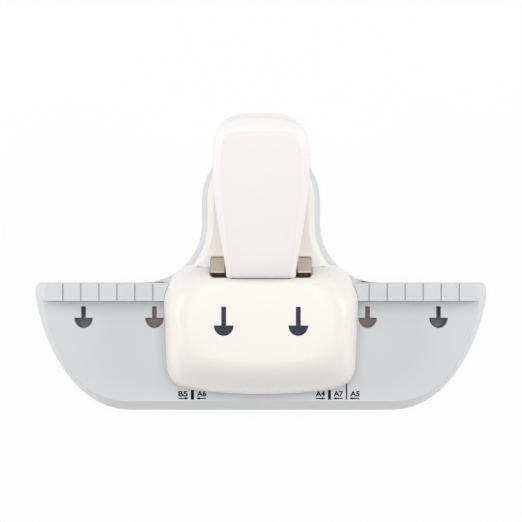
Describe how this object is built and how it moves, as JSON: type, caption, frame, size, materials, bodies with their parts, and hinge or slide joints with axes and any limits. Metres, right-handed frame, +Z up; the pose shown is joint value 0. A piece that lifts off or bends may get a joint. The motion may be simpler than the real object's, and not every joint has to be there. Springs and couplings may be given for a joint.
{
  "type": "disc binding punch",
  "caption": "Desk punch that cuts mushroom-shaped holes in paper edges for disc-bound notebooks: winged base with ruled fence, domed cover and sprung rear lever.",
  "frame": {"origin": "on the desk, under the middle of the outline box", "axes": "+X to the user's right along the paper's edge, +Y to the rear (the lever side), +Z up"},
  "size_m": [0.1622, 0.1025, 0.0593],
  "materials": {
    "abs_white": "satin moulded ABS",
    "abs_grey": "fine matt moulded ABS",
    "pp_grey": "matt moulded polypropylene",
    "plate_steel": "cold-rolled sheet with a warm passivated film",
    "tool_steel": "hardened and ground",
    "zinc_steel": "bright zinc plate",
    "cast_zinc": "die-cast zinc, as cast",
    "spring_steel": "drawn spring wire and strip",
    "nylon": "natural nylon",
    "rubber_black": "matt rubber"
  },
  "bodies": {
    "frame": {"base": "abs_grey", "bottom_cover": "pp_grey", "bottom_screws": "zinc_steel", "foot_front_left": "rubber_black", "foot_front_right": "rubber_black", "foot_rear_left": "rubber_black", "foot_rear_right": "rubber_black", "bed_plate": "plate_steel", "die_block": "tool_steel", "die_rivets": "zinc_steel", "paper_stop": "zinc_steel", "punch_bracket": "plate_steel", "guide_block": "cast_zinc", "guide_rivets": "zinc_steel", "bracket_screws": "zinc_steel", "lever_axle": "zinc_steel", "axle_clips": "spring_steel", "pivot_spacers": "nylon", "return_spring_left": "spring_steel", "return_spring_right": "spring_steel", "cover": "abs_white", "cover_screws": "zinc_steel"},
    "carriage": {"crosshead": "cast_zinc", "punch_left": "tool_steel", "punch_right": "tool_steel", "punch_pins": "zinc_steel"},
    "lever": {"lever_arm": "plate_steel", "lever_cap": "abs_white", "lever_screws": "zinc_steel"},
    "lid": {"chip_lid": "pp_grey"}
  },
  "joints": [
    {"name": "lever_pivot", "type": "hinge", "parent": "frame", "child": "lever", "pos_m": [0, -0.0299, 0.0285], "axis": [-1, 0, 0], "range_deg": [0, 18.18], "stiffness_Nm_per_rad": 0.6, "springref_deg": -22.92},
    {"name": "punch_slide", "type": "slide", "parent": "frame", "child": "carriage", "axis": [0, 0, -1], "range_m": [0, 0.00402], "deforming": ["return_spring_left", "return_spring_right"]},
    {"name": "chip_lid_hinge", "type": "hinge", "parent": "frame", "child": "lid", "pos_m": [0, -0.0095, 0.0024], "axis": [1, 0, 0], "range_deg": [0, 95]}
  ],
  "couplings": [
    {"joint": "punch_slide", "follows": "lever_pivot", "m_per_rad": 0.012606}
  ]
}
